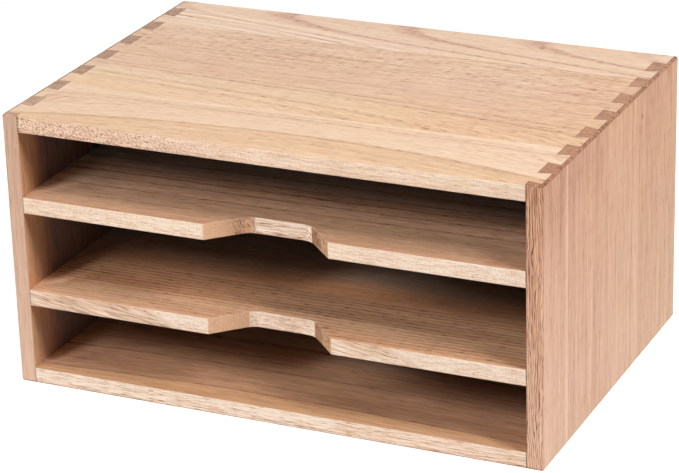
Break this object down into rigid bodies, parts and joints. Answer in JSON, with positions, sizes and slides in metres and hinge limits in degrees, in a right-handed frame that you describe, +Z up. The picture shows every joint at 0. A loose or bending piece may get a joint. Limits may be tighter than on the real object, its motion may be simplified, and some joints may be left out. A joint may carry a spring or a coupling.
{
  "type": "letter tray stack",
  "caption": "Open-fronted wooden desk case whose fixed shelves make stacked letter trays, with finger notches in the shelf fronts, dovetailed corners and a closed back.",
  "frame": {"origin": "centre of the underside, on the surface that the case stands on", "axes": "+X from left to right seen from the front, +Y from the open front to the back, +Z up"},
  "size_m": [0.33, 0.227, 0.168],
  "materials": {
    "side_wood": "bare sanded wood, upright grain",
    "top_wood": "bare sanded wood, long grain",
    "bottom_wood": "bare sanded wood, long grain",
    "shelf_wood": "bare sanded wood, long grain",
    "back_wood": "bare sanded thin board",
    "brad_steel": "bright steel"
  },
  "bodies": {
    "root": {"left_side": "side_wood", "right_side": "side_wood", "top_board": "top_wood", "bottom_board": "bottom_wood", "lower_shelf": "shelf_wood", "upper_shelf": "shelf_wood", "back_panel": "back_wood", "back_panel_brads": "brad_steel"}
  },
  "joints": []
}
